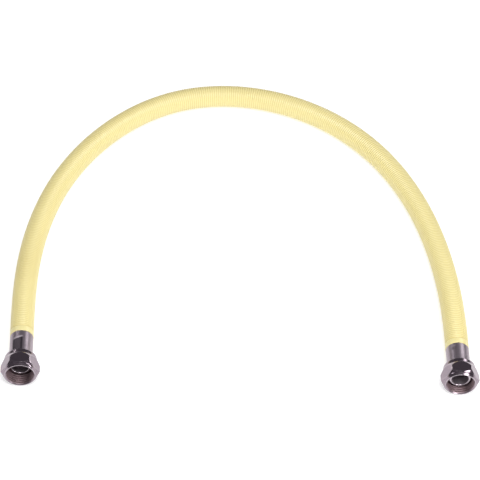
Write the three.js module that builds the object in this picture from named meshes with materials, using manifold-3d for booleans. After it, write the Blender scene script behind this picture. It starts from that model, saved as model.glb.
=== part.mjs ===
// A flexible gas hose: a ringed plastic cover over a thin metal hose, with a union nut at each end.
// Millimetres, +Z up. The hose lies in an arch on the floor at z = 0, its two mouths facing -Y.
// The origin is on the floor, midway between the two end fittings.

import * as THREE from 'three';
import { mergeVertices } from 'three/addons/utils/BufferGeometryUtils.js';
import Module from 'manifold-3d';

const wasm = await Module();
wasm.setup();

// Clearances
const SEAT_GAP = 0.3;
const SLEEVE_GAP = 0.3;
const NUT_GAP = 0.3;

// Hose
const COVER_OUTER_R = 8.4;
const COVER_WALL = 0.6;
const INNER_HOSE_WALL = 0.5;
const HOSE_SIDES = 12;
const HOSE_STEP = 25;

// Ferrule: a thin sleeve over the hose's end, turned in at its front
const FERRULE_WALL = 0.45;
const FERRULE_LENGTH = 20.1;
const FERRULE_LIP = 1.2;

// Nipple: its tail fits in the hose, its neck is in the ferrule's lip and its collar fits in the nut's thread
const TAIL_WALL = 0.55;
const TAIL_LENGTH = 11.5;
const NECK_WALL = 0.9;
const COLLAR_LENGTH = 1.6;
const NOSE_WALL = 1.65;
const NOSE_LENGTH = 1.0;
const BORE_BREAK = 0.25;

// Retaining ring: a flat split ring that moves along the neck with the nut
const RING_THICKNESS = 1.0;
const RING_PLAY = 0.45;
const RING_GAP_ANGLE = THREE.MathUtils.degToRad(14);
const NUT_TRAVEL = 2.9;

// Union nut
const NUT_FLATS = 24;
const NUT_LENGTH = 15;
const NUT_LIP = 3.2;
const SHOULDER_BACK_R = 11.45;
const SHOULDER_FRONT_R = 11.9;
const SHOULDER_LENGTH = 3.4;
const CORNER_START = 7.3;
const CORNER_END = 11.2;
const COLLAR_START = 12.9;
const MOUTH_R = 11.9;
const EDGE_BREAK = 0.4;
const THREAD_CREST_R = 9.3;
const MOUTH_CHAMFER = 0.9;
const MOUTH_BEVEL = 1.2;
const GROOVE_DEPTH = 0.7;

const ROUND_SIDES = 48;

// Points this close are one point, and a cutter reaches this far past what it cuts
const SAME_POINT = 1e-4;
const CUTTER_REACH = 1;

// The route of the hose's middle line, from the left ferrule's back face to the right one's
const ROUTE = [
  [-155.96, 13.07, 12.0], [-157.6, 36.98, 12.0], [-158.8, 64.68, 11.3], [-158.6, 92.48, 10.0],
  [-156.3, 120.08, 9.0], [-151.5, 147.38, 8.5], [-143.8, 174.08, 8.4], [-132.8, 199.48, 8.4],
  [-118.5, 223.28, 8.4], [-100.8, 244.58, 8.4], [-79.7, 262.48, 8.4], [-55.2, 275.38, 8.4],
  [-28.3, 281.78, 8.4], [-0.6, 281.58, 8.4], [26.4, 275.28, 8.4], [51.6, 263.68, 8.4],
  [74.1, 247.68, 8.4], [93.6, 227.88, 8.4], [109.7, 205.28, 8.4], [122.6, 180.78, 8.4],
  [132.8, 154.98, 8.5], [140.4, 128.38, 9.0], [145.9, 101.18, 10.0], [149.6, 73.68, 11.3],
  [151.8, 45.98, 12.0], [152.84, 22.08, 12.0],
].map(([x, y, z]) => new THREE.Vector3(x, y, z));

// Sizes that follow from those above
const coverInnerR = COVER_OUTER_R - COVER_WALL;
const innerHoseOuterR = coverInnerR - SLEEVE_GAP;
const innerHoseInnerR = innerHoseOuterR - INNER_HOSE_WALL;
const ferruleInnerR = innerHoseOuterR + SLEEVE_GAP;
const ferruleOuterR = ferruleInnerR + FERRULE_WALL;
const tailR = innerHoseInnerR * Math.cos(Math.PI / HOSE_SIDES) - SLEEVE_GAP;
const boreR = tailR - TAIL_WALL;
const neckR = boreR + NECK_WALL;
const noseR = boreR + NOSE_WALL;
const collarR = THREAD_CREST_R - NUT_GAP;
const ferruleLipR = neckR + SLEEVE_GAP;
const hoseEndInFerrule = FERRULE_LENGTH - FERRULE_LIP - SEAT_GAP;
const collarBack = FERRULE_LENGTH + NUT_TRAVEL + RING_THICKNESS + 2 * SEAT_GAP;
const sealFace = collarBack + COLLAR_LENGTH + NOSE_LENGTH;
const neckBack = FERRULE_LENGTH - FERRULE_LIP;
const ringInnerR = neckR + RING_PLAY;
const grooveR = THREAD_CREST_R + GROOVE_DEPTH;
const ringOuterR = grooveR - NUT_GAP;
const grooveWidth = RING_THICKNESS + 2 * NUT_GAP;
const nutLipR = ferruleOuterR + NUT_GAP;
const nutCornerR = NUT_FLATS / Math.sqrt(3);
const ringForward = collarBack - SEAT_GAP - RING_THICKNESS;
const nutForward = ringForward - NUT_GAP - NUT_LIP;

// Materials
const finish = (color, metalness, roughness) =>
  new THREE.MeshStandardMaterial({ color, metalness, roughness });
const coverFinish = () => finish(0xe9dc92, 0.0, 0.45);
const steelFinish = () => finish(0xb8b8bc, 1.0, 0.35);
const nickelFinish = () => finish(0x8d8690, 1.0, 0.22);

// A solid turned about the X axis from an outline of [along, radius] points, which runs clockwise in that
// order, and either starts and ends on the axis or is closed here
function turned(outline) {
  const points = outline.map(([along, radius]) => new THREE.Vector2(radius, along));
  if (points[0].x > 0) points.push(points[0].clone());
  const shape = new THREE.LatheGeometry(points.reverse(), ROUND_SIDES);
  return shape.rotateZ(-Math.PI / 2);
}

// A closed mesh as a manifold solid
function solidOf(geometry) {
  const bare = geometry.clone();
  bare.deleteAttribute('normal');
  bare.deleteAttribute('uv');
  const merged = mergeVertices(bare, SAME_POINT);
  const corners = merged.index.array;
  const triangles = [];
  for (let i = 0; i < corners.length; i += 3) {
    const [a, b, c] = corners.slice(i, i + 3);
    if (a !== b && b !== c && c !== a) triangles.push(a, b, c);
  }
  const triVerts = Uint32Array.from(triangles);
  const vertProperties = Float32Array.from(merged.attributes.position.array);
  return new wasm.Manifold(new wasm.Mesh({ numProp: 3, vertProperties, triVerts }));
}

function geometryOf(solid) {
  const { vertProperties, triVerts } = solid.getMesh();
  const geometry = new THREE.BufferGeometry();
  geometry.setAttribute('position', new THREE.BufferAttribute(vertProperties, 3));
  geometry.setIndex(new THREE.BufferAttribute(triVerts, 1));
  geometry.computeVertexNormals();
  return geometry;
}

function piece(name, geometry, material) {
  const mesh = new THREE.Mesh(geometry, material);
  mesh.name = name;
  return mesh;
}

// A line through given places, so that tubes inside one another have their sections at the same ones
class TracedLine extends THREE.Curve {
  constructor(places, tangents) {
    super();
    this.places = places;
    this.tangents = tangents;
  }

  getPointAt(share) {
    return this.places[Math.round(share * (this.places.length - 1))].clone();
  }

  getTangentAt(share) {
    return this.tangents[Math.round(share * (this.places.length - 1))].clone();
  }
}

// A plain tube along a traced line, with a regular section of flat sides
function tubeAlong(line, outerR, innerR) {
  const ring = (radius, Kind) => {
    const path = new Kind();
    for (let side = 0; side < HOSE_SIDES; side += 1) {
      const angle = (side + 0.5) * 2 * Math.PI / HOSE_SIDES;
      const place = [radius * Math.cos(angle), radius * Math.sin(angle)];
      if (side === 0) path.moveTo(...place);
      else path.lineTo(...place);
    }
    path.closePath();
    return path;
  };
  const section = ring(outerR, THREE.Shape);
  section.holes.push(ring(innerR, THREE.Path));
  const steps = line.places.length - 1;
  return new THREE.ExtrudeGeometry(section, { steps, extrudePath: line, bevelEnabled: false });
}

// The direction in which a fitting points, away from the hose
const outward = (end, next) => end.clone().sub(next).setZ(0).normalize();
const leftOut = outward(ROUTE[0], ROUTE[1]);
const rightOut = outward(ROUTE.at(-1), ROUTE.at(-2));

// The cover's line stops just short of both ferrules
function coverLine() {
  const points = ROUTE.map((point) => point.clone());
  points[0].addScaledVector(leftOut, -SEAT_GAP);
  points.at(-1).addScaledVector(rightOut, -SEAT_GAP);
  const curve = new THREE.CatmullRomCurve3(points, false, 'centripetal');
  const steps = Math.round(curve.getLength() / HOSE_STEP);
  const places = curve.getSpacedPoints(steps);
  const tangents = places.map((_, step) => curve.getTangentAt(step / steps));
  return new TracedLine(places, tangents);
}

function hoseCover() {
  return tubeAlong(coverLine(), COVER_OUTER_R, coverInnerR);
}

// The inner hose goes on straight into both ferrules
function innerHose() {
  const line = coverLine();
  line.places.unshift(ROUTE[0].clone().addScaledVector(leftOut, hoseEndInFerrule));
  line.places.push(ROUTE.at(-1).clone().addScaledVector(rightOut, hoseEndInFerrule));
  line.tangents.unshift(line.tangents[0]);
  line.tangents.push(line.tangents.at(-1));
  return tubeAlong(line, innerHoseOuterR, innerHoseInnerR);
}

// Each fitting's own frame has its axis along +X and x = 0 at the ferrule's back face

function ferrule() {
  return turned([
    [0, ferruleInnerR],
    [FERRULE_LENGTH - FERRULE_LIP, ferruleInnerR],
    [FERRULE_LENGTH - FERRULE_LIP, ferruleLipR],
    [FERRULE_LENGTH, ferruleLipR],
    [FERRULE_LENGTH, ferruleOuterR - EDGE_BREAK],
    [FERRULE_LENGTH - EDGE_BREAK, ferruleOuterR],
    [0, ferruleOuterR],
  ]);
}

function nipple() {
  return turned([
    [neckBack - TAIL_LENGTH, boreR],
    [sealFace - BORE_BREAK, boreR],
    [sealFace, boreR + BORE_BREAK],
    [sealFace, noseR],
    [sealFace - NOSE_LENGTH, noseR],
    [sealFace - NOSE_LENGTH, collarR],
    [collarBack, collarR],
    [collarBack, neckR],
    [neckBack, neckR],
    [neckBack, tailR],
    [neckBack - TAIL_LENGTH, tailR],
  ]);
}

function retainingRing() {
  const section = new THREE.Shape();
  const half = RING_GAP_ANGLE / 2;
  section.absarc(0, 0, ringOuterR, half, 2 * Math.PI - half, false);
  section.absarc(0, 0, ringInnerR, 2 * Math.PI - half, half, true);
  section.closePath();
  const shape = new THREE.ExtrudeGeometry(section, {
    depth: RING_THICKNESS,
    bevelEnabled: false,
    curveSegments: ROUND_SIDES,
  });
  return shape.rotateY(Math.PI / 2);
}

// The nut's own x = 0 is its back face
function unionNut() {
  const hexagon = new THREE.Shape();
  for (let corner = 0; corner < 6; corner += 1) {
    const angle = corner * Math.PI / 3;
    const place = [nutCornerR * Math.cos(angle), nutCornerR * Math.sin(angle)];
    if (corner === 0) hexagon.moveTo(...place);
    else hexagon.lineTo(...place);
  }
  hexagon.closePath();
  const bar = new THREE.ExtrudeGeometry(hexagon, { depth: NUT_LENGTH, bevelEnabled: false });
  bar.rotateZ(Math.PI / 2).rotateY(Math.PI / 2);
  // The corner line runs between two chamfers, so the round cutter stands just outside the corners there
  const round = turned([
    [NUT_LENGTH, 0],
    [NUT_LENGTH, MOUTH_R - MOUTH_BEVEL],
    [NUT_LENGTH - MOUTH_BEVEL, MOUTH_R],
    [COLLAR_START, MOUTH_R],
    [CORNER_END, nutCornerR],
    [CORNER_END, nutCornerR + CUTTER_REACH],
    [CORNER_START, nutCornerR + CUTTER_REACH],
    [CORNER_START, nutCornerR],
    [SHOULDER_LENGTH, SHOULDER_FRONT_R],
    [EDGE_BREAK, SHOULDER_BACK_R],
    [0, SHOULDER_BACK_R - EDGE_BREAK],
    [0, 0],
  ]);
  const threadEnd = NUT_LIP + grooveWidth;
  const hollow = turned([
    [NUT_LENGTH + CUTTER_REACH, 0],
    [NUT_LENGTH + CUTTER_REACH, THREAD_CREST_R + MOUTH_CHAMFER],
    [NUT_LENGTH, THREAD_CREST_R + MOUTH_CHAMFER],
    [NUT_LENGTH - MOUTH_CHAMFER, THREAD_CREST_R],
    [threadEnd, THREAD_CREST_R],
    [threadEnd, grooveR],
    [NUT_LIP, grooveR],
    [NUT_LIP, nutLipR],
    [-CUTTER_REACH, nutLipR],
    [-CUTTER_REACH, 0],
  ]);
  return geometryOf(solidOf(bar).intersect(solidOf(round)).subtract(solidOf(hollow)));
}

// One end's pieces, on the hose's end. A nut's slip is how far it stands back from its forward stop.
function endFitting(side, end, direction, slip) {
  const group = new THREE.Group();
  const ring = piece(`retaining_ring_${side}`, retainingRing(), steelFinish());
  ring.position.x = ringForward - slip;
  const nut = piece(`union_nut_${side}`, unionNut(), nickelFinish());
  nut.position.x = nutForward - slip;
  group.add(
    piece(`ferrule_${side}`, ferrule(), nickelFinish()),
    piece(`nipple_${side}`, nipple(), nickelFinish()),
    ring,
    nut,
  );
  group.position.set(end.x, end.y, NUT_FLATS / 2);
  group.rotation.z = Math.atan2(direction.y, direction.x);
  return group;
}

const hose = new THREE.Group();
hose.add(
  piece('hose_cover', hoseCover(), coverFinish()),
  piece('inner_hose', innerHose(), steelFinish()),
  endFitting('left', ROUTE[0], leftOut, 0),
  endFitting('right', ROUTE.at(-1), rightOut, NUT_TRAVEL),
);

export default hose;
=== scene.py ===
"""A flexible gas hose with a union nut at each end, lying in an arch on a pale floor."""

import math
from typing import NamedTuple

import bpy
import numpy as np
from bpy.props import FloatProperty, FloatVectorProperty, IntProperty, PointerProperty
from bpy.types import Operator, Panel, PropertyGroup
from mathutils import Matrix, Vector


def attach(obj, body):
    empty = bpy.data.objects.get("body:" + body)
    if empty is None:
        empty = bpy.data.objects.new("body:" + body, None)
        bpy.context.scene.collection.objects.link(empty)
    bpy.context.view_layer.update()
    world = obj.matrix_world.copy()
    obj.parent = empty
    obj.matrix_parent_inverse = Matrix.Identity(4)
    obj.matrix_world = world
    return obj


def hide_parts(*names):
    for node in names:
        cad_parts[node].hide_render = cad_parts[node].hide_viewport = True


bl_info = {
    "name": "Flexible gas hose",
    "version": (1, 0, 0),
    "blender": (4, 5, 0),
    "location": "3D View > Sidebar > Gas Hose",
    "description": "Builds a flexible gas hose with its end fittings, and the stage it lies on",
    "category": "Add Mesh",
}

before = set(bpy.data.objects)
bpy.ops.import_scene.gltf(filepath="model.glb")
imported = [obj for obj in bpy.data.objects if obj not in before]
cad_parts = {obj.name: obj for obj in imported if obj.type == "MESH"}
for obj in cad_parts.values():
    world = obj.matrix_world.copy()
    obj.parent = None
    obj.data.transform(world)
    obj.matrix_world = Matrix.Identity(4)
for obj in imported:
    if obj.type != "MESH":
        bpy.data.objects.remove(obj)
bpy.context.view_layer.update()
MM = 0.001

# The route of the hose's middle line, from the left ferrule's back face to the right one's, in metres
ROUTE = [
    (-0.15596, 0.01307, 0.0120), (-0.1576, 0.03698, 0.0120), (-0.1588, 0.06468, 0.0113),
    (-0.1586, 0.09248, 0.0100), (-0.1563, 0.12008, 0.0090), (-0.1515, 0.14738, 0.0085),
    (-0.1438, 0.17408, 0.0084), (-0.1328, 0.19948, 0.0084), (-0.1185, 0.22328, 0.0084),
    (-0.1008, 0.24458, 0.0084), (-0.0797, 0.26248, 0.0084), (-0.0552, 0.27538, 0.0084),
    (-0.0283, 0.28178, 0.0084), (-0.0006, 0.28158, 0.0084), (0.0264, 0.27528, 0.0084),
    (0.0516, 0.26368, 0.0084), (0.0741, 0.24768, 0.0084), (0.0936, 0.22788, 0.0084),
    (0.1097, 0.20528, 0.0084), (0.1226, 0.18078, 0.0084), (0.1328, 0.15498, 0.0085),
    (0.1404, 0.12838, 0.0090), (0.1459, 0.10118, 0.0100), (0.1496, 0.07368, 0.0113),
    (0.1518, 0.04598, 0.0120), (0.15284, 0.02208, 0.0120),
]


def size(label, about, default):
    """A length that a user can set."""
    return FloatProperty(name=label, description=about, default=default, unit="LENGTH", subtype="DISTANCE")


def number(label, about, default, low, high):
    """A whole number that a user can set."""
    return IntProperty(name=label, description=about, default=default, min=low, max=high)


def angle(label, about, degrees):
    """An angle that a user can set."""
    return FloatProperty(name=label, description=about, default=math.radians(degrees), subtype="ANGLE")


def colour(label, about, default):
    """A colour that a user can set."""
    return FloatVectorProperty(name=label, description=about, default=default, subtype="COLOR", min=0, max=1)


def place(label, about, default):
    """A point that a user can set."""
    return FloatVectorProperty(name=label, description=about, default=default, subtype="TRANSLATION")


class GasHoseCover(PropertyGroup):
    """Sizes of the hose."""

    outer_radius: size("Outer radius", "From the middle line to the top of a ring", 8.4 * MM)
    inner_radius: size("Inner radius", "Inside of the plastic cover", 7.8 * MM)
    ring_pitch: size("Ring pitch", "From one ring to the next", 1.74 * MM)
    ring_depth: size("Ring depth", "Depth of the valley between two rings", 0.34 * MM)
    band_length: size("End band", "Smooth stretch of the cover at each end", 4.8 * MM)
    end_gap: size("End gap", "Between the cover and a ferrule", 0.3 * MM)
    metal_outer_radius: size("Metal hose outside", "Top of a corrugation of the inner metal hose", 7.5 * MM)
    metal_inner_radius: size("Metal hose inside", "Bore of the inner metal hose", 7.0 * MM)
    metal_reach: size("Metal hose reach", "How far the metal hose goes into a ferrule", 18.6 * MM)
    sides: number("Sides", "Faces around the cover", 40, 12, 96)
    metal_sides: number("Metal hose sides", "Faces around the inner metal hose", 24, 12, 96)


class GasHoseFitting(PropertyGroup):
    """Sizes of the end fittings."""

    axis_height: size("Axis height", "From the floor to the fitting's axis", 12 * MM)
    ferrule_radius: size("Ferrule radius", "Outside of the ferrule", 8.25 * MM)
    ferrule_bore: size("Ferrule bore", "Inside of the ferrule over the hose", 7.8 * MM)
    ferrule_length: size("Ferrule length", "From its back face to its front", 20.1 * MM)
    ferrule_lip: size("Ferrule lip", "Thickness of its turned-in front", 1.2 * MM)
    lip_bore: size("Lip bore", "Inside of the ferrule's front lip", 7.11 * MM)
    bore_radius: size("Bore radius", "The nipple's gas way", 5.91 * MM)
    tail_radius: size("Tail radius", "The nipple's tail in the hose", 6.46 * MM)
    tail_length: size("Tail length", "How far the tail goes into the hose", 11.5 * MM)
    neck_radius: size("Neck radius", "The nipple's neck behind its collar", 6.81 * MM)
    collar_radius: size("Collar radius", "The nipple's collar inside the nut", 9.0 * MM)
    collar_back: size("Collar back", "From the ferrule's back face to the collar", 24.6 * MM)
    collar_length: size("Collar length", "Thickness of the collar", 1.6 * MM)
    nose_radius: size("Nose radius", "Outside of the raised seal face", 7.56 * MM)
    nose_length: size("Nose length", "How far the seal face stands out", 1.0 * MM)
    bore_chamfer: size("Bore chamfer", "Chamfer at the mouth of the gas way", 0.25 * MM)
    nut_flats: size("Nut flats", "Across the nut's flats", 24 * MM)
    nut_length: size("Nut length", "From back face to mouth", 15 * MM)
    nut_forward: size("Nut forward", "Back face of the nut at its forward stop", 19.8 * MM)
    nut_travel: size("Nut travel", "How far the nut slides back", 2.9 * MM)
    nut_lip: size("Nut lip", "Thickness of the nut's back wall", 3.2 * MM)
    nut_lip_bore: size("Nut lip bore", "Hole in the nut's back wall", 8.55 * MM)
    shoulder_back: size("Shoulder back", "Radius of the nut's round shoulder at its back face", 11.45 * MM)
    shoulder_front: size("Shoulder front", "Radius of that shoulder where the chamfer starts", 11.9 * MM)
    shoulder_length: size("Shoulder length", "Length of the round shoulder", 3.4 * MM)
    corner_start: size("Corner start", "Where the back chamfer meets the corners", 7.3 * MM)
    corner_end: size("Corner end", "Where the front chamfer leaves the corners", 11.2 * MM)
    collar_start: size("Mouth collar start", "Where the round mouth collar begins", 12.9 * MM)
    mouth_radius: size("Mouth radius", "Outside of the nut's mouth", 11.9 * MM)
    thread_crest: size("Thread crest", "Radius of the inside thread's crests", 9.3 * MM)
    thread_root: size("Thread root", "Radius of the inside thread's roots", 10.3 * MM)
    thread_pitch: size("Thread pitch", "14 turns to the inch", 1.814 * MM)
    thread_start: size("Thread start", "Over which the thread deepens behind the mouth", 0.5 * MM)
    thread_end: size("Thread end", "Over which the thread runs out at the groove", 0.8 * MM)
    groove_radius: size("Groove radius", "The groove that holds the retaining ring", 10.0 * MM)
    groove_width: size("Groove width", "Width of that groove", 1.6 * MM)
    mouth_chamfer: size("Mouth chamfer", "Chamfer at the thread's start", 0.9 * MM)
    mouth_bevel: size("Mouth bevel", "Bevel around the outside of the mouth", 1.2 * MM)
    edge_break: size("Edge break", "Small chamfer on outside edges", 0.4 * MM)
    soft_edge: size("Soft edge", "Rounding of the edges, so that they catch light", 0.12 * MM)
    corner_blunt: size("Blunt corner", "How far the nut's corners are worn back", 0.1 * MM)
    sides: number("Sides", "Faces around a turned piece", 96, 24, 240)


class GasHoseFinish(PropertyGroup):
    """Colours of the finishes."""

    cover: colour("Cover", "Pale yellow plastic", (0.82, 0.735, 0.345))
    # Painted shade between the rings and in the end grooves, and also the colour of the random blotches
    cover_blotch_and_valley_shade: colour("Cover valleys", "The same plastic between the rings", (0.55, 0.40, 0.09))
    cover_speck: colour("Cover specks", "Fine dust on the plastic", (0.30, 0.22, 0.10))
    nickel: colour("Nickel", "Bright nickel plate", (0.305, 0.25, 0.285))
    brushed: colour("Brushed nickel", "Nickel plate of the ferrules", (0.42, 0.36, 0.40))
    plate_cloud: colour("Plate clouds", "Cloudy places in the plate", (0.24, 0.20, 0.24))
    # Painted shade: the plate in a dent is darkened where it turns away from the light
    plate_dent_shade: colour("Dull plate", "Plate in a dent, turned away from the light", (0.06, 0.05, 0.06))
    # Wear on edges, and painted highlights on a crease, on the mouth's upper rim and in the gas way
    plate_wear_and_highlight: colour("Worn plate", "Plate rubbed bright on an edge", (0.60, 0.55, 0.58))
    bare_brass: colour("Bare brass", "Unplated metal inside the nut", (0.20, 0.14, 0.15))
    brass_cloud: colour("Brass clouds", "Cloudy places in that metal", (0.13, 0.09, 0.105))
    # Wear on the thread's crests, and a painted highlight on them
    brass_wear_and_highlight: colour("Worn brass", "Crests of the thread", (0.30, 0.225, 0.235))
    steel: colour("Steel", "Plain stainless steel", (0.50, 0.49, 0.50))
    steel_drawn: colour("Drawn steel", "Streaks in the steel", (0.32, 0.31, 0.33))
    floor: colour("Floor", "Pale floor", (0.55, 0.55, 0.55))
    floor_grain: colour("Floor grain", "Grain of the floor", (0.533, 0.533, 0.533))
    sky: colour("Sky", "Light from all around", (0.95, 0.90, 1.0))


class GasHoseStage(PropertyGroup):
    """The camera, the floor and what lights them."""

    elevation: angle("Elevation", "Camera's angle above the floor", 45.78)
    roll: angle("Roll", "Camera's tilt about its own axis", 2.87)
    distance: size("Distance", "From the camera to the point it looks at", 1.64824)
    aim: place("Aim", "The point that the camera looks at", (-0.0052, 0.13218, 0.0))
    sensor: FloatProperty(name="Sensor", description="Width of the camera's sensor, in mm", default=36)
    image_size: FloatProperty(name="Image size", description="Side of the picture, in pixels", default=480)
    focal_pixels: FloatProperty(name="Focal length", description="Focal length, in pixels", default=2200)
    view_reach: size("View reach", "How far the camera sees", 20)
    floor_reach: size("Floor reach", "From the middle of the floor to its edge", 3)
    floor_glow: FloatProperty(name="Floor glow", description="Light that the floor gives off", default=0.58)
    lamps_aim: place("Lamps' aim", "The point that the lamps shine at", (0.0, 0.12, 0.0))
    sky_strength: FloatProperty(name="Sky strength", description="Light from all around", default=0.14)


# Shader maths: a socket that adds its own nodes


class Value:
    """A shader socket that takes part in Python expressions."""

    def __init__(self, shader, socket):
        self.shader = shader
        self.socket = socket

    def _maths(self, operation, *values):
        """A Math node over the values."""
        return self.shader.node("ShaderNodeMath", {"operation": operation}, dict(enumerate(values)))

    def __add__(self, other):
        return self._maths("ADD", self, other)

    def __radd__(self, other):
        return self._maths("ADD", other, self)

    def __mul__(self, other):
        return self._maths("MULTIPLY", self, other)

    def __rmul__(self, other):
        return self._maths("MULTIPLY", other, self)

    def between(self, low, high):
        """Zero below low, one above high, smooth between."""
        limits = {"Value": self, "From Min": low, "From Max": high}
        return self.shader.node("ShaderNodeMapRange", {"interpolation_type": "SMOOTHSTEP"}, limits)


class Shader:
    """A material's node tree, built around one Principled BSDF."""

    def __init__(self, name):
        self.material = bpy.data.materials.new(name)
        self.material.use_nodes = True
        self.tree = self.material.node_tree
        self.principled = self.tree.nodes["Principled BSDF"]

    def node(self, kind, settings, inputs, output=0):
        """A node of that type: its settings first, then the values or links of its sockets."""
        made = self.tree.nodes.new(kind)
        for key, value in settings.items():
            setattr(made, key, value)
        for key, value in inputs.items():
            self._feed(made.inputs[key], value)
        return Value(self, made.outputs[output])

    def _feed(self, socket, value):
        """Link the socket, or set its own value."""
        if isinstance(value, Value):
            self.tree.links.new(value.socket, socket)
        elif socket.type == "RGBA" and len(value) == 3:
            socket.default_value = (*value, 1)
        else:
            socket.default_value = value

    def mix(self, share, first, second):
        """Two colours, mixed."""
        made = self.tree.nodes.new("ShaderNodeMix")
        made.data_type = "RGBA"
        named = {socket.identifier: socket for socket in made.inputs}
        self._feed(named["Factor_Float"], share)
        self._feed(named["A_Color"], first)
        self._feed(named["B_Color"], second)
        result = next(socket for socket in made.outputs if socket.identifier == "Result_Color")
        return Value(self, result)

    def place(self, stretch):
        """Where a point is on the piece, in metres, stretched along its axes."""
        coordinates = self.node("ShaderNodeTexCoord", {}, {}, output="Object")
        return self.node("ShaderNodeMapping", {}, {"Vector": coordinates, "Scale": stretch})

    def noise(self, scale, detail=3.0, roughness=0.5, stretch=(1, 1, 1)):
        """Soft noise over the piece, with scale waves to the metre."""
        inputs = {"Vector": self.place(stretch), "Scale": scale, "Detail": detail, "Roughness": roughness}
        return self.node("ShaderNodeTexNoise", {}, inputs)

    def mark(self, name):
        """A value stored on the mesh."""
        return self.node("ShaderNodeAttribute", {"attribute_name": name}, {}, output="Fac")

    def bump(self, height, strength):
        """Fine relief, up to a tenth of a millimetre high."""
        return self.node("ShaderNodeBump", {}, {"Height": height, "Strength": strength, "Distance": 0.1 * MM})

    def finish(self, **sockets):
        """The material, with those sockets of its shader fed."""
        for key, value in sockets.items():
            self._feed(self.principled.inputs[key.replace("_", " ")], value)
        return self.material


def yellow_cover(colours):
    """Soft satin plastic, with painted shade between its rings that makes it darker and more saturated there.
    """
    shader = Shader("yellow_cover")
    valley = shader.mark("valley")
    blotched = shader.noise(scale=9, detail=2.0).between(0.45, 0.8) * 0.18
    # Painted shade in the valleys between the rings
    shaded = valley * 0.5
    specked = shader.noise(scale=900, detail=2.0).between(0.70, 0.80) * 0.12
    plastic = shader.mix(blotched, colours.cover, colours.cover_blotch_and_valley_shade)
    plastic = shader.mix(shaded, plastic, colours.cover_blotch_and_valley_shade)
    plastic = shader.mix(specked, plastic, colours.cover_speck)
    return shader.finish(
        Base_Color=plastic,
        Roughness=shader.noise(scale=60) * 0.14 + 0.34 + valley * 0.15,
        Normal=shader.bump(shader.noise(scale=1500, detail=2.0), strength=0.12),
        Specular_IOR_Level=0.9,
        Coat_Weight=0.10,
        Coat_Roughness=0.3,
    )


def nickel_plate(colours, name, tone, polish):
    """Plate over turned metal: worn bright on its edges, with painted highlights on a crease and the mouth's
    upper rim, painted light in the gas way and painted shade in a dent, and bare brass inside the nut.
    tone is the plate's colour and polish how rough it is."""
    shader = Shader(name)
    inside = shader.mark("inside")
    wear_and_highlight = shader.mark("wear_and_highlight")
    dent_shade = shader.mark("dent_shade")
    matt = shader.mark("matt")
    turning = shader.noise(scale=40, roughness=0.6, stretch=(60, 1, 1))
    clouds = shader.noise(scale=160, detail=4.0)
    plate = shader.mix(clouds.between(0.35, 0.75) * 0.35, tone, colours.plate_cloud)
    # Painted shade in a dent, then wear and painted highlights
    plate = shader.mix(dent_shade * 0.9, plate, colours.plate_dent_shade)
    plate = shader.mix(wear_and_highlight * 0.5, plate, colours.plate_wear_and_highlight)
    brass = shader.mix(clouds.between(0.4, 0.7) * 0.4, colours.bare_brass, colours.brass_cloud)
    brass = shader.mix(wear_and_highlight, brass, colours.brass_wear_and_highlight)
    return shader.finish(
        Base_Color=shader.mix(inside, plate, brass),
        Metallic=1.0,
        Roughness=turning * 0.10 + polish + inside * 0.33 + matt * 0.36 + clouds * 0.08,
        Normal=shader.bump(turning, strength=0.10),
    )


def plain_steel(colours):
    """Plain drawn stainless steel."""
    shader = Shader("plain_steel")
    drawn = shader.noise(scale=60, roughness=0.6, stretch=(1, 12, 12))
    return shader.finish(
        Base_Color=shader.mix(drawn.between(0.3, 0.7) * 0.5, colours.steel, colours.steel_drawn),
        Metallic=1.0,
        Roughness=drawn * 0.2 + 0.25,
        Normal=shader.bump(drawn, strength=0.1),
    )


def pale_floor(colours, glow):
    """Smooth pale floor with a barely visible grain, and a glow that keeps shadows faint."""
    shader = Shader("pale_floor")
    return shader.finish(
        Base_Color=shader.mix(shader.noise(scale=30) * 0.05, colours.floor, colours.floor_grain),
        Roughness=0.7,
        Emission_Color=(1.0, 1.0, 1.0),
        Emission_Strength=glow,
    )


# Meshes

# An edge that turns by more than this is sharp, on a turned piece and on a nut
SHARP_TURNED = math.radians(38)
SHARP_NUT = math.radians(22)
NEVER_SHARP = math.pi


def ringed_mesh(name, rows, marks=None):
    """A closed shell from rows of points: each row closes on itself, and the last row joins the first.
    rows is an array of rows, points and coordinates. marks gives values to store, one for each point."""
    count, around, _ = rows.shape
    index = np.arange(count * around).reshape(count, around)
    next_row = np.roll(index, -1, axis=0)
    quads = np.stack([index, np.roll(index, -1, axis=1), np.roll(next_row, -1, axis=1), next_row], axis=-1)
    mesh = bpy.data.meshes.new(name)
    mesh.from_pydata(rows.reshape(-1, 3).tolist(), [], quads.reshape(-1, 4).tolist())
    if signed_volume(rows.reshape(-1, 3), quads.reshape(-1, 4)) < 0:
        mesh.flip_normals()
    for key, values in (marks or {}).items():
        stored = mesh.attributes.new(key, "FLOAT", "POINT")
        stored.data.foreach_set("value", np.asarray(values, np.float32).ravel())
    mesh.polygons.foreach_set("use_smooth", [True] * len(mesh.polygons))
    return mesh


def signed_volume(points, quads):
    """The volume that the faces close in, negative where they face inwards."""
    a, b, c, d = (points[quads[:, corner]] for corner in range(4))
    first = np.einsum("ij,ij->i", a, np.cross(b, c)).sum()
    second = np.einsum("ij,ij->i", a, np.cross(c, d)).sum()
    return (first + second) / 6


def add_piece(name, mesh, material, body, matrix=Matrix(), sharp=SHARP_TURNED):
    """A piece in the scene, riding on a body. matrix says where it is."""
    piece = bpy.data.objects.new(name, mesh)
    bpy.context.scene.collection.objects.link(piece)
    mesh.set_sharp_from_angle(angle=sharp)
    piece.matrix_world = matrix
    mesh.materials.append(material)
    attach(piece, body)
    return piece


def turned_rows(outline, sides):
    """Rows of a shell turned about X, from a closed outline of (along, radius)."""
    angles = np.arange(sides) * 2 * math.pi / sides
    along, radius = np.array(outline).T
    x = np.repeat(along[:, None], sides, axis=1)
    return np.stack([x, radius[:, None] * np.cos(angles), radius[:, None] * np.sin(angles)], axis=-1)


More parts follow.
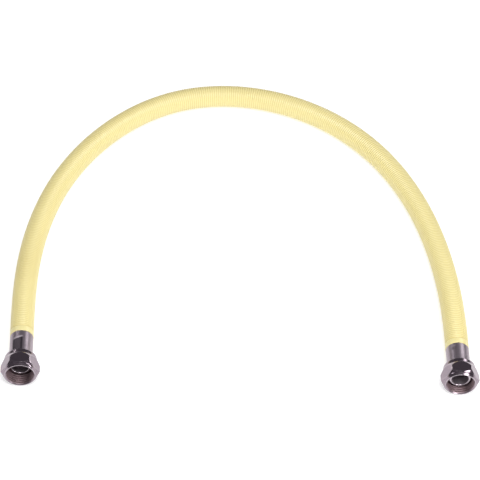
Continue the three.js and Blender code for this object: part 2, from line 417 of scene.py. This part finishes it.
def rounded(outline, radius, steps=3, most=0.4):
    """The outline with each corner cut by a small arc, which takes up at most that share of a side."""
    points = [np.array(point) for point in outline]
    result = []
    for i, corner in enumerate(points):
        before = points[i - 1] - corner
        after = points[(i + 1) % len(points)] - corner
        reach = min(radius, most * np.linalg.norm(before), most * np.linalg.norm(after))
        start = corner + before / np.linalg.norm(before) * reach
        end = corner + after / np.linalg.norm(after) * reach
        for t in np.linspace(0, 1, steps):
            result.append((1 - t) ** 2 * start + 2 * t * (1 - t) * corner + t**2 * end)
    return [tuple(point) for point in result]


# The hose's line


def blend(t, first, second, start, end):
    """The straight blend that is first at start and second at end."""
    return ((end - t) * first + (t - start) * second) / (end - start)


def catmull_rom(points, per_span=60):
    """A smooth centripetal curve through the points, finely sampled."""
    points = np.array(points)
    padded = np.vstack([2 * points[0] - points[1], points, 2 * points[-1] - points[-2]])
    samples = []
    for i in range(1, len(padded) - 2):
        p = padded[i - 1 : i + 3]
        chords = np.linalg.norm(np.diff(p, axis=0), axis=1)
        knots = np.concatenate([[0], np.cumsum(np.sqrt(chords))])
        t = np.linspace(knots[1], knots[2], per_span, endpoint=False)[:, None]
        a1, a2, a3 = (blend(t, p[k], p[k + 1], knots[k], knots[k + 1]) for k in range(3))
        b1 = blend(t, a1, a2, knots[0], knots[2])
        b2 = blend(t, a2, a3, knots[1], knots[3])
        samples.append(blend(t, b1, b2, knots[1], knots[2]))
    return np.vstack([*samples, points[-1][None]])


class HoseLine:
    """The hose's middle line, its length, and the frame at any distance along it."""

    def __init__(self, points):
        self.samples = catmull_rom(points)
        steps = np.linalg.norm(np.diff(self.samples, axis=0), axis=1)
        self.distance = np.concatenate([[0], np.cumsum(steps)])
        self.length = self.distance[-1]

    def held(self, distances):
        """Points on the line; past an end, the end itself."""
        return np.stack([np.interp(distances, self.distance, axis) for axis in self.samples.T], axis=-1)

    def at(self, distances):
        """Points on the line; past an end, straight on."""
        before = np.minimum(distances, 0)[:, None]
        beyond = np.maximum(distances - self.length, 0)[:, None]
        start = self.direction(np.zeros(1))
        end = self.direction(np.full(1, self.length))
        return self.held(distances) + before * start + beyond * end

    def direction(self, distances):
        """Unit directions along the line."""
        reach = 0.5 * MM
        low = np.clip(distances - reach, 0, self.length - reach)
        high = np.clip(distances + reach, reach, self.length)
        step = self.held(high) - self.held(low)
        return step / np.linalg.norm(step, axis=1)[:, None]

    def rows(self, distances, radii, sides):
        """Rings of points around the line. The line is nearly flat, so each ring's frame is built from up."""
        centre = self.at(distances)
        forward = self.direction(np.clip(distances, 0, self.length))
        side = np.cross(forward, [0.0, 0.0, 1.0])
        side /= np.linalg.norm(side, axis=1)[:, None]
        up = np.cross(side, forward)
        angles = np.arange(sides) * 2 * math.pi / sides
        turn = np.cos(angles)[None, :, None] * side[:, None] + np.sin(angles)[None, :, None] * up[:, None]
        return centre[:, None] + np.asarray(radii)[:, None, None] * turn


LINE = HoseLine(ROUTE)


def end_frames(fitting):
    """Each end's side, and the matrix of its fitting: X runs out of the mouth, Z is up."""
    for side, end, inner in (("left", ROUTE[0], ROUTE[1]), ("right", ROUTE[-1], ROUTE[-2])):
        out = Vector(end) - Vector(inner)
        out.z = 0
        out.normalize()
        across = Vector((0, 0, 1)).cross(out)
        matrix = Matrix((out, across, Vector((0, 0, 1)))).transposed().to_4x4()
        matrix.translation = Vector((end[0], end[1], fitting.axis_height))
        yield side, matrix


# How deep the cover's outside lies, as shares of a ring's depth. A ring is given by shares of the pitch, from
# one valley to the next, and a band by distances in from the cover's end and out from its groove.
RING_OUTLINE = ((0.0, 1.0), (0.16, 0.72), (0.32, 0.12), (0.5, 0.0), (0.68, 0.12), (0.84, 0.72))
BAND_END = ((0.0, 0.6), (0.15 * MM, 0.15), (0.5 * MM, 0.05))
BAND_EDGE = ((0.5 * MM, 0.0), (0.12 * MM, 0.1))
# The groove lies deeper than a ring, so its painted shade is darker too
GROOVE_DEPTH = 1.3

# The groove beside a band, and where the first ring starts beyond it, as shares of the pitch
GROOVE_WIDTH = 0.35
RINGS_START = 0.45


def ring_stations(cover):
    """Distances along the cover, with how deep each one lies: a smooth band and a groove at each end, and
    rings between them."""
    start = cover.end_gap
    first = start + cover.band_length
    last = LINE.length - first
    rings = round((last - first) / cover.ring_pitch)
    pitch = (last - first) / rings
    near = [(start + inwards, depth) for inwards, depth in BAND_END]
    near += [(first - outwards, depth) for outwards, depth in BAND_EDGE]
    near += [(first, GROOVE_DEPTH), (first + GROOVE_WIDTH * pitch, GROOVE_DEPTH)]
    far = [(LINE.length - distance, depth) for distance, depth in reversed(near)]
    ringed = [(ring + share, depth) for ring in range(rings) for share, depth in RING_OUTLINE]
    kept = [(turn, depth) for turn, depth in ringed if RINGS_START < turn < rings - RINGS_START]
    middle = [(first + turn * pitch, depth) for turn, depth in kept]
    return np.array(near + middle + far)


class GASHOSE_OT_hose(Operator):
    """Build the ringed cover and the metal hose inside it"""

    bl_idname = "gashose.hose"
    bl_label = "Hose"

    def execute(self, context):
        cover = context.scene.gas_hose_cover
        colours = context.scene.gas_hose_finish
        self.ringed_cover(cover, colours)
        self.metal_hose(cover, colours)
        return {"FINISHED"}

    def ringed_cover(self, cover, colours, inside_rows=160):
        """The yellow cover: its ringed outside, then its plain inside back to the start."""
        outside, depth = ring_stations(cover).T
        inside = np.linspace(outside[-1], outside[0], inside_rows)
        outer = cover.outer_radius - cover.ring_depth * depth
        inner = np.full(inside_rows, cover.inner_radius)
        # How deep each row lies also sets the painted shade between the rings
        valley = np.concatenate([depth, np.zeros(inside_rows)])
        rows = LINE.rows(np.concatenate([outside, inside]), np.concatenate([outer, inner]), cover.sides)
        marks = {"valley": np.repeat(valley[:, None], cover.sides, axis=1)}
        mesh = ringed_mesh("ringed_cover", rows, marks)
        plastic = yellow_cover(colours)
        hose = add_piece("ringed_cover", mesh, plastic, "hose", sharp=NEVER_SHARP)
        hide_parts("hose_cover")

    def metal_hose(self, cover, colours):
        """The corrugated hose inside, which goes on into both ferrules. Its bore is plain."""
        start = -cover.metal_reach
        end = LINE.length + cover.metal_reach
        pitches = round((end - start) / cover.ring_pitch)
        half_turns = np.arange(2 * pitches + 1)
        outside = start + half_turns * (end - start) / (2 * pitches)
        corrugation = (cover.metal_outer_radius - cover.metal_inner_radius) / 2
        outer = cover.metal_outer_radius - corrugation * (half_turns % 2)
        inner = np.full(len(outer), cover.metal_inner_radius)
        distances = np.concatenate([outside, outside[::-1]])
        rows = LINE.rows(distances, np.concatenate([outer, inner]), cover.metal_sides)
        mesh = ringed_mesh("corrugated_hose", rows)
        hose = add_piece("corrugated_hose", mesh, plain_steel(colours), "hose", sharp=NEVER_SHARP)
        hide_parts("inner_hose")


class GASHOSE_OT_fittings(Operator):
    """Build the ferrules, nipples and union nuts of both ends"""

    bl_idname = "gashose.fittings"
    bl_label = "End fittings"

    def execute(self, context):
        fitting = context.scene.gas_hose_fitting
        colours = context.scene.gas_hose_finish
        plate = nickel_plate(colours, "nickel_plate", colours.nickel, polish=0.09)
        sleeve_plate = nickel_plate(colours, "brushed_nickel", colours.brushed, polish=0.32)
        steel = bpy.data.materials["plain_steel"]
        for side, matrix in end_frames(fitting):
            slip = 0 if side == "left" else fitting.nut_travel
            nut_place = Matrix.Translation((fitting.nut_forward - slip, 0, 0))
            self.ferrule(fitting, side, matrix, sleeve_plate)
            self.nipple(fitting, side, matrix, plate)
            self.nut(fitting, side, matrix @ nut_place, plate)
            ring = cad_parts[f"retaining_ring_{side}"]
            ring.data.materials.clear()
            ring.data.materials.append(steel)
        return {"FINISHED"}

    def ferrule(self, fitting, side, matrix, plate):
        """The sleeve over the hose's end, with its turned-in front and its dents."""
        front = fitting.ferrule_length
        lip = front - fitting.ferrule_lip
        outline = [
            (0, fitting.ferrule_bore),
            (lip, fitting.ferrule_bore),
            (lip, fitting.lip_bore),
            (front, fitting.lip_bore),
            (front, fitting.ferrule_radius - fitting.edge_break),
            (front - fitting.edge_break, fitting.ferrule_radius),
            (0, fitting.ferrule_radius),
        ]
        rows = turned_rows(divided(rounded(outline, fitting.soft_edge), DENT_ROW_STEP), fitting.sides)
        dent_shade = np.zeros(rows.shape[:2])
        matt = np.zeros(rows.shape[:2])
        wear_and_highlight = np.exp(-((rows[:, :, 0] / RIM_WEAR) ** 2))
        for dent in DENTS[side]:
            share, crease = press_in(rows, fitting, dent)
            # Painted shade over the dent, and a painted highlight on its crease
            dent_shade = np.maximum(dent_shade, share - crease)
            wear_and_highlight = np.maximum(wear_and_highlight, crease * CREASE_SHINE)
            matt = np.maximum(matt, crease)
        mesh = ringed_mesh(f"sleeve_{side}", rows, {"wear_and_highlight": wear_and_highlight, "dent_shade": dent_shade, "matt": matt})
        piece = add_piece(f"sleeve_{side}", mesh, plate, "hose", matrix)
        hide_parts(f"ferrule_{side}")

    def nipple(self, fitting, side, matrix, plate):
        """The turned end piece: tail in the hose, neck, collar and raised seal face, with a matt gas way that
        has painted light in it.
        """
        neck_back = fitting.ferrule_length - fitting.ferrule_lip
        tail = neck_back - fitting.tail_length
        collar_front = fitting.collar_back + fitting.collar_length
        face = collar_front + fitting.nose_length
        outline = [
            (tail, fitting.bore_radius),
            (face - fitting.bore_chamfer, fitting.bore_radius),
            (face, fitting.bore_radius + fitting.bore_chamfer),
            (face, fitting.nose_radius),
            (collar_front, fitting.nose_radius),
            (collar_front, fitting.collar_radius),
            (fitting.collar_back, fitting.collar_radius),
            (fitting.collar_back, fitting.neck_radius),
            (neck_back, fitting.neck_radius),
            (neck_back, fitting.tail_radius),
            (tail, fitting.tail_radius),
        ]
        rows = turned_rows(rounded(outline, fitting.soft_edge), fitting.sides)
        radius = np.hypot(rows[:, :, 1], rows[:, :, 2])
        on_nose = (rows[:, :, 0] > collar_front + 0.2 * fitting.nose_length).astype(float)
        in_bore = (radius < fitting.bore_radius + 0.2 * fitting.bore_chamfer).astype(float)
        # The seal face is worn bright, and the gas way gets painted light
        marks = {"wear_and_highlight": np.maximum(on_nose, in_bore), "matt": in_bore}
        mesh = ringed_mesh(f"end_nipple_{side}", rows, marks)
        piece = add_piece(f"end_nipple_{side}", mesh, plate, "hose", matrix)
        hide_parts(f"nipple_{side}")

    def nut(self, fitting, side, matrix, plate):
        """The union nut."""
        rows, wear_and_highlight, inside = nut_rows(fitting)
        mesh = ringed_mesh(f"hex_nut_{side}", rows, {"wear_and_highlight": wear_and_highlight, "inside": inside})
        piece = add_piece(f"hex_nut_{side}", mesh, plate, f"nut_{side}", matrix, SHARP_NUT)
        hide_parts(f"union_nut_{side}")


# Ferrules and their dents


class Dent(NamedTuple):
    """A flat pressed into a ferrule: its middle, as an angle from the top, half its width, as an angle, where
    it starts and ends along the ferrule, how much its back edge slants, and how deep it is."""

    middle: float
    half_width: float
    start: float
    end: float
    slant: float
    depth: float


DENTS = {
    "left": [Dent(math.radians(-17), math.radians(30), 5.5 * MM, 21 * MM, slant=0.9 * MM, depth=0.40 * MM)],
    "right": [Dent(math.radians(-26), math.radians(15), 2.2 * MM, 5.8 * MM, slant=0.4 * MM, depth=0.14 * MM)],
}

# A dent this deep has its full painted shade and crease highlight, and a shallower one has fainter ones
FULL_DENT = 0.4 * MM

# How softly a dent starts and ends along the ferrule, and how steeply it rises at its sides
DENT_START_BLEND = 0.6 * MM
DENT_END_BLEND = 0.5 * MM
DENT_SIDE_STEEPNESS = 3

# The crease, which is a painted highlight: how far it lies inside the dent's back edge, its width, and how
# bright it is painted next to a worn edge
CREASE_PLACE = 0.2 * MM
CREASE_WIDTH = 0.55 * MM
CREASE_SHINE = 1.8

# The ferrule's rows lie this close together, and its back rim is worn over this length
DENT_ROW_STEP = 0.4 * MM
RIM_WEAR = 0.25 * MM


def divided(outline, step):
    """The outline with its long stretches split up."""
    result = []
    for start, end in zip(outline, outline[1:] + outline[:1]):
        parts = max(1, round(math.dist(start, end) / step))
        for k in range(parts):
            result.append(tuple(a + (b - a) * k / parts for a, b in zip(start, end)))
    return result


def smooth_step(value):
    """Zero below zero, one above one, smooth between."""
    share = np.clip(value, 0, 1)
    return share * share * (3 - 2 * share)


def press_in(rows, fitting, dent):
    """Press part of the ferrule's outside flat. Gives how far each point lies in the dent, and how far on the
    crease at its back edge."""
    along = rows[:, :, 0]
    radius = np.hypot(rows[:, :, 1], rows[:, :, 2])
    from_middle = np.arctan2(rows[:, :, 1], rows[:, :, 2]) - dent.middle
    across = from_middle / dent.half_width
    edge = dent.start - dent.slant * across
    outside = radius > fitting.ferrule_radius - 0.5 * fitting.edge_break
    sideways = smooth_step((1 - np.abs(across)) * DENT_SIDE_STEEPNESS) * outside
    begun = smooth_step((along - edge) / DENT_START_BLEND)
    not_ended = smooth_step((dent.end - along) / DENT_END_BLEND)
    share = begun * not_ended * sideways
    crease = np.exp(-(((along - edge - CREASE_PLACE) / CREASE_WIDTH) ** 2)) * sideways
    flat = (fitting.ferrule_radius - dent.depth) / np.cos(np.clip(from_middle, -1, 1))
    pressed = np.minimum(radius, flat)
    factor = 1 - share * (1 - pressed / radius)
    rows[:, :, 1] *= factor
    rows[:, :, 2] *= factor
    strength = dent.depth / FULL_DENT
    return share * strength, crease * strength


# Union nuts

SIXTH = math.pi / 3

# How worn the nut's six corners are, and over what angle
CORNER_WEAR = 0.8
CORNER_WEAR_WIDTH = 0.03

# The mouth's outer edge, in shares of its bevel: how far behind the mouth, how far in, and how much wear and
# painted highlight it has
MOUTH_EDGE = (
    (1.125, 0.0, 0.0), (0.933, 0.042, 0.3), (0.708, 0.25, 0.0),
    (0.292, 0.733, 0.0), (0.083, 0.933, 0.5), (0.0, 1.025, 0.9),
)

# The thread: rows to a turn, how much steeper its flanks are than an even wave, how wide its flat crests are,
# how much wear and painted highlight they have, and how deep it already is where it starts
THREAD_ROWS = 12
THREAD_FLANK = 1.35
THREAD_CREST = 0.18
THREAD_WEAR_AND_HIGHLIGHT = 0.35
THREAD_TRACE = 0.05


def nut_angles(steps_per_flat=24, crowding=0.85):
    """Angles around the nut, crowded together at its six corners. A corner lies at angle zero."""
    share = np.linspace(0, 1, steps_per_flat, endpoint=False)
    eased = share - np.sin(2 * math.pi * share) / (2 * math.pi) * crowding
    return np.concatenate([(corner + eased) * SIXTH for corner in range(6)])


def chamfer_rows(foot, foot_radius, corner_place, corner, hexagon, soft):
    """A chamfer from its round foot up to the hexagon, as rows of (along, radius, worn), and the curved edge
    where it meets the hexagon. It reaches the corners at corner_place, and has close rows at that edge."""
    slope = (corner - foot_radius) / (corner_place - foot)
    soft = math.copysign(soft, slope)
    edge = foot + (hexagon - foot_radius) / slope
    top = edge - soft
    top_radius = hexagon - slope * soft
    rows = []
    for share in (0.1, 0.5, 0.9):
        rows.append((foot + share * (top - foot), foot_radius + share * (top_radius - foot_radius), 0.0))
    rows.append((top, top_radius, 0.2))
    rows.append((edge, hexagon - 0.25 * slope * soft, 0.8))
    rows.append((edge + soft, hexagon, 0.4))
    return rows, edge


def nut_rows(fitting):
    """Rows of the union nut, from its back face around the outside and back through the bore, with how much
    wear and painted highlight each point has and whether it is inside."""
    angles = nut_angles()
    from_flat = angles % SIXTH - SIXTH / 2
    half = fitting.nut_flats / 2
    corner = half / math.cos(SIXTH / 2)
    hexagon = np.minimum(half / np.cos(from_flat), corner - fitting.corner_blunt)
    rows = []

    def row(along, radius, wear_and_highlight=0.0, inside=0.0):
        rows.append([np.broadcast_to(value, angles.shape) for value in (along, radius, wear_and_highlight, inside)])

    shoulder_rows(fitting, row)
    hexagon_rows(fitting, row, hexagon, corner)
    mouth_rows(fitting, row, angles)
    thread_rows(fitting, row, angles)
    back_wall_rows(fitting, row)
    along, radius, wear_and_highlight, inside = (np.array(values) for values in zip(*rows))
    corner_wear = CORNER_WEAR * np.exp(-(((np.abs(from_flat) - SIXTH / 2) / CORNER_WEAR_WIDTH) ** 2))
    on_hexagon = np.isclose(radius, hexagon[None], atol=1e-6)
    wear_and_highlight = np.maximum(wear_and_highlight, corner_wear[None] * on_hexagon)
    return np.stack([along, radius * np.cos(angles), radius * np.sin(angles)], axis=-1), wear_and_highlight, inside


def shoulder_rows(fitting, row):
    """The nut's back face and the round shoulder behind its hexagon, a little wider at its front."""
    edge = fitting.edge_break
    beside = 0.3 * MM
    rise = 0.03 * MM
    row(0, fitting.nut_lip_bore + beside)
    row(0, fitting.shoulder_back - edge, 0.3)
    row(0.3 * edge, fitting.shoulder_back - 0.3 * edge, 0.9)
    row(edge, fitting.shoulder_back, 0.3)
    row(edge + beside, fitting.shoulder_back + rise)
    row(fitting.shoulder_length - beside, fitting.shoulder_front - rise)
    row(fitting.shoulder_length, fitting.shoulder_front, 0.2)


def hexagon_rows(fitting, row, hexagon, corner):
    """The flats, and the chamfers at both their ends."""
    soft = fitting.soft_edge
    back_rows, back = chamfer_rows(
        fitting.shoulder_length, fitting.shoulder_front, fitting.corner_start, corner, hexagon, soft
    )
    front_rows, front = chamfer_rows(
        fitting.collar_start, fitting.mouth_radius, fitting.corner_end, corner, hexagon, soft
    )
    for station in back_rows:
        row(*station)
    for share in (0.08, 0.35, 0.65, 0.92):
        row(back + share * (front - back), hexagon)
    for station in reversed(front_rows):
        row(*station)


def mouth_rows(fitting, row, angles):
    """The round collar at the mouth and its bevelled edge, which is worn and has a painted highlight on its
    upper side.
    """
    # Painted highlight: the edge is brighter on its upper side
    upper = smooth_step(0.5 + np.sin(angles))
    beside = 0.25 * MM
    row(fitting.collar_start, fitting.mouth_radius, 0.2)
    row(fitting.collar_start + beside, fitting.mouth_radius)
    for behind, inwards, wear_and_highlight in MOUTH_EDGE:
        along = fitting.nut_length - behind * fitting.mouth_bevel
        row(along, fitting.mouth_radius - inwards * fitting.mouth_bevel, wear_and_highlight * upper)
    row(fitting.nut_length, fitting.thread_crest + fitting.mouth_chamfer, upper)


def thread_rows(fitting, row, angles):
    """The inside thread, from the mouth's chamfer to the ring groove: each row lies on the helix."""
    end = fitting.nut_lip + fitting.groove_width
    start = fitting.nut_length - fitting.mouth_chamfer
    full_depth = fitting.thread_root - fitting.thread_crest
    for along in np.linspace(start, end, round((start - end) / fitting.thread_pitch * THREAD_ROWS)):
        turn = (along / fitting.thread_pitch + angles / (2 * math.pi)) % 1
        depth = np.clip(np.abs(turn * 2 - 1) * THREAD_FLANK - THREAD_CREST, 0, 1)
        begun = (start - along) / fitting.thread_start + THREAD_TRACE
        not_ended = (along - end) / fitting.thread_end
        fade = min(1, begun, not_ended)
        # Wear and a painted highlight on the thread's crests
        row(along, fitting.thread_crest + full_depth * depth * fade, THREAD_WEAR_AND_HIGHLIGHT * (1 - depth), 1.0)


def back_wall_rows(fitting, row):
    """The groove of the retaining ring, and the back wall with its hole."""
    beside = 0.3 * MM
    row(fitting.nut_lip + fitting.groove_width, fitting.groove_radius, 0, 1)
    row(fitting.nut_lip, fitting.groove_radius, 0, 1)
    row(fitting.nut_lip, fitting.nut_lip_bore, 0, 1)
    row(beside, fitting.nut_lip_bore, 0, 0.5)


class GASHOSE_OT_cord(Operator):
    bl_idname = "gashose.cord"
    bl_label = "Declare the hose"

    def execute(self, context):
        cover = context.scene.gas_hose_cover
        names = ["corrugated_hose"]
        for kind in ("sleeve", "end_nipple", "hex_nut"):
            names += [f"{kind}_left", f"{kind}_right"]
        path = LINE.at(np.linspace(cover.end_gap, LINE.length - cover.end_gap, 400))
        tuple(path[0])
        return {"FINISHED"}


class Lamp(NamedTuple):
    """A square lamp: where it stands, its power in watts and the length of its side."""

    name: str
    stands: tuple
    power: float
    side: float


LAMPS = (
    Lamp("top", (0.1, -0.65, 1.7), power=34.5, side=0.9),
    Lamp("key", (0.35, -0.30, 0.19), power=0.55, side=0.12),
    Lamp("front", (0.25, -1.3, 0.34), power=3.2, side=0.4),
    Lamp("back right", (0.70, 0.89, 0.60), power=2.0, side=0.40),
    Lamp("back left", (-0.78, 0.85, 0.60), power=0.8, side=0.19),
)


class GASHOSE_OT_stage(Operator):
    """Set up the camera, the floor and the lights"""

    bl_idname = "gashose.stage"
    bl_label = "Stage"

    def execute(self, context):
        stage = context.scene.gas_hose_stage
        colours = context.scene.gas_hose_finish
        self.camera(context, stage)
        self.floor(context, stage, colours)
        self.sky(context, stage, colours)
        for lamp in LAMPS:
            self.lamp(context, stage, lamp)
        context.scene.view_settings.view_transform = "Standard"
        return {"FINISHED"}

    def camera(self, context, stage):
        """The camera, which looks down at the hose from the front."""
        elevation, roll = stage.elevation, stage.roll
        forward = Vector((0, math.cos(elevation), -math.sin(elevation)))
        level = Vector((1, 0, 0))
        above = level.cross(forward)
        right = level * math.cos(roll) + above * math.sin(roll)
        up = right.cross(forward)
        data = bpy.data.cameras.new("camera")
        data.sensor_width = stage.sensor
        data.lens = stage.focal_pixels / stage.image_size * stage.sensor
        data.clip_end = stage.view_reach
        camera = bpy.data.objects.new("camera", data)
        matrix = Matrix((right, up, -forward)).transposed().to_4x4()
        matrix.translation = Vector(stage.aim) - forward * stage.distance
        camera.matrix_world = matrix
        context.scene.collection.objects.link(camera)
        context.scene.camera = camera

    def floor(self, context, stage, colours):
        """The floor, which is not part of the hose."""
        reach = stage.floor_reach
        mesh = bpy.data.meshes.new("floor")
        corners = [(-reach, -reach, 0), (reach, -reach, 0), (reach, reach, 0), (-reach, reach, 0)]
        mesh.from_pydata(corners, [], [(0, 1, 2, 3)])
        mesh.materials.append(pale_floor(colours, stage.floor_glow))
        floor = bpy.data.objects.new("floor", mesh)
        context.scene.collection.objects.link(floor)

    def sky(self, context, stage, colours):
        """An even light from all around."""
        world = bpy.data.worlds.new("studio")
        world.use_nodes = True
        background = world.node_tree.nodes["Background"]
        background.inputs["Color"].default_value = (*colours.sky, 1)
        background.inputs["Strength"].default_value = stage.sky_strength
        context.scene.world = world

    def lamp(self, context, stage, lamp):
        """One of the lamps."""
        data = bpy.data.lights.new(lamp.name, "AREA")
        data.energy = lamp.power
        data.shape = "SQUARE"
        data.size = lamp.side
        light = bpy.data.objects.new(lamp.name, data)
        light.location = lamp.stands
        light.visible_camera = False
        towards = Vector(stage.lamps_aim) - Vector(lamp.stands)
        light.rotation_euler = towards.to_track_quat("-Z", "Y").to_euler()
        context.scene.collection.objects.link(light)


class GASHOSE_PT_panel(Panel):
    """Lists the steps in the sidebar"""

    bl_idname = "GASHOSE_PT_panel"
    bl_label = "Gas Hose"
    bl_space_type = "VIEW_3D"
    bl_region_type = "UI"
    bl_category = "Gas Hose"

    def draw(self, context):
        for operator in OPERATORS:
            self.layout.operator(operator.bl_idname)


SETTINGS = {
    "gas_hose_cover": GasHoseCover,
    "gas_hose_fitting": GasHoseFitting,
    "gas_hose_finish": GasHoseFinish,
    "gas_hose_stage": GasHoseStage,
}
OPERATORS = (GASHOSE_OT_stage, GASHOSE_OT_hose, GASHOSE_OT_fittings, GASHOSE_OT_cord)


def register():
    for item in (*SETTINGS.values(), *OPERATORS, GASHOSE_PT_panel):
        bpy.utils.register_class(item)
    for key, group in SETTINGS.items():
        setattr(bpy.types.Scene, key, PointerProperty(type=group))


def unregister():
    for key in SETTINGS:
        delattr(bpy.types.Scene, key)
    for item in (GASHOSE_PT_panel, *reversed(OPERATORS), *reversed(SETTINGS.values())):
        bpy.utils.unregister_class(item)


def main():
    register()
    bpy.ops.gashose.stage()
    bpy.ops.gashose.hose()
    bpy.ops.gashose.fittings()
    bpy.ops.gashose.cord()


if __name__ == "__main__":
    main()
